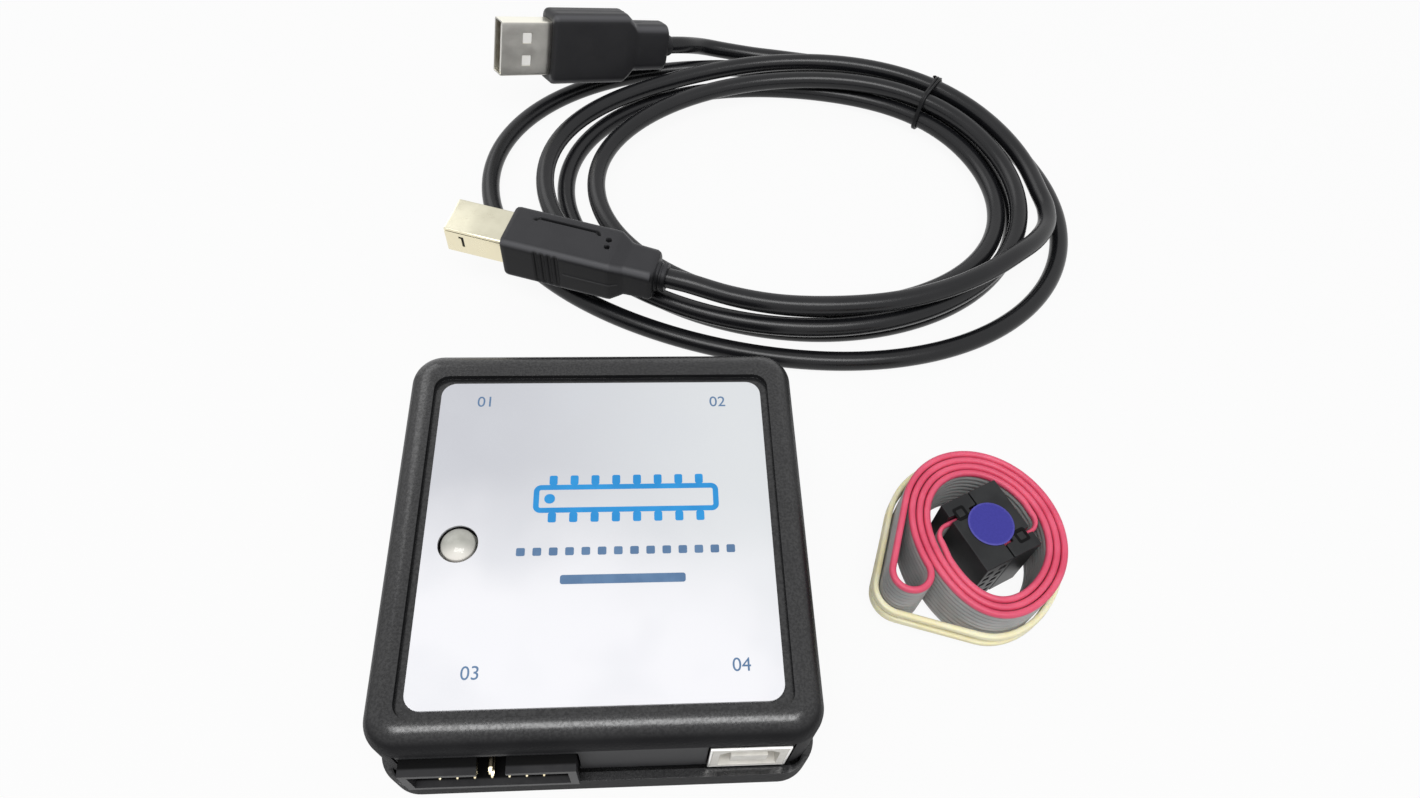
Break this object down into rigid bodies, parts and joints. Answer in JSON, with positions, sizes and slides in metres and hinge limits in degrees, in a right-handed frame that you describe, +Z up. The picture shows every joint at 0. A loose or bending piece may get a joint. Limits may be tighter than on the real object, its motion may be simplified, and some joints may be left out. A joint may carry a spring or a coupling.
{
  "type": "usb microcontroller programmer",
  "caption": "Flat square programmer box with a label top, push-button, USB socket and pin headers, with its coiled USB lead and its rolled ribbon lead.",
  "frame": {"origin": "centre of the case's underside", "axes": "+X to the right of the case seen from its front, +Y towards its rear end, +Z up through the label"},
  "size_m": [0.1384, 0.1801, 0.0276],
  "materials": {
    "case_black": "fine moulded texture",
    "panel_black": "plain",
    "label_silver": "satin silver print",
    "board_green": "solder mask",
    "socket_metal": "tinned",
    "liner_white": "plain",
    "gold": "gold flash",
    "header_black": "plain",
    "cap_pearl": "pearl",
    "switch_dark": "plain",
    "lamp_clear": "diffuse",
    "chip_black": "plain",
    "can_metal": "plain",
    "ceramic_tan": "plain",
    "screw_steel": "plain",
    "shell_grey": "plated",
    "shell_cream": "plated",
    "jacket_black": "semi-gloss",
    "grip_black": "satin",
    "tie_black": "plain",
    "ribbon_grey": "ribbed",
    "idc_black": "plain",
    "dot_blue": "printed",
    "band_cream": "plain"
  },
  "bodies": {
    "case": {"bottom_shell": "case_black", "top_shell": "case_black", "label_plate": "label_silver", "front_panel": "panel_black", "rear_panel": "panel_black", "circuit_board": "board_green", "usb_socket_shell": "socket_metal", "usb_socket_insert": "liner_white", "usb_socket_contacts": "gold", "front_header": "header_black", "front_header_pins": "gold", "rear_left_header": "header_black", "rear_left_header_pins": "gold", "rear_right_header": "header_black", "rear_right_header_pins": "gold", "tact_switch": "switch_dark", "status_lamp": "lamp_clear", "controller_chip": "chip_black", "buffer_chip": "chip_black", "regulator": "chip_black", "crystal": "can_metal", "capacitors": "ceramic_tan", "resistors": "chip_black", "case_screws": "screw_steel"},
    "button": {"button_cap": "cap_pearl", "switch_plunger": "switch_dark"},
    "usb_lead": {"usb_a_shell": "shell_grey", "usb_a_tongue": "liner_white", "usb_a_contacts": "gold", "usb_a_grip": "grip_black", "usb_b_shell": "shell_cream", "usb_b_insert": "idc_black", "usb_b_contacts": "gold", "usb_b_grip": "grip_black", "usb_lead_coil": "jacket_black", "usb_lead_tail_a": "jacket_black", "usb_lead_tail_b": "jacket_black", "cable_tie": "tie_black"},
    "ribbon_lead": {"ribbon_roll": "ribbon_grey", "ribbon_socket_a": "idc_black", "ribbon_cover_a": "idc_black", "ribbon_socket_b": "idc_black", "ribbon_cover_b": "idc_black", "ribbon_contacts": "gold", "dot_sticker": "dot_blue", "rubber_band": "band_cream"}
  },
  "joints": [
    {"name": "button_press", "type": "slide", "parent": "case", "child": "button", "axis": [0, 0, -1], "range_m": [0, 0.0005], "stiffness_N_per_m": 600, "springref_m": -0.0003},
    {"name": "usb_lead_away", "type": "slide", "parent": "case", "child": "usb_lead", "axis": [0, 1, 0], "range_m": [0, 0.05]},
    {"name": "ribbon_lead_away", "type": "slide", "parent": "case", "child": "ribbon_lead", "axis": [1, 0, 0], "range_m": [0, 0.05]}
  ]
}
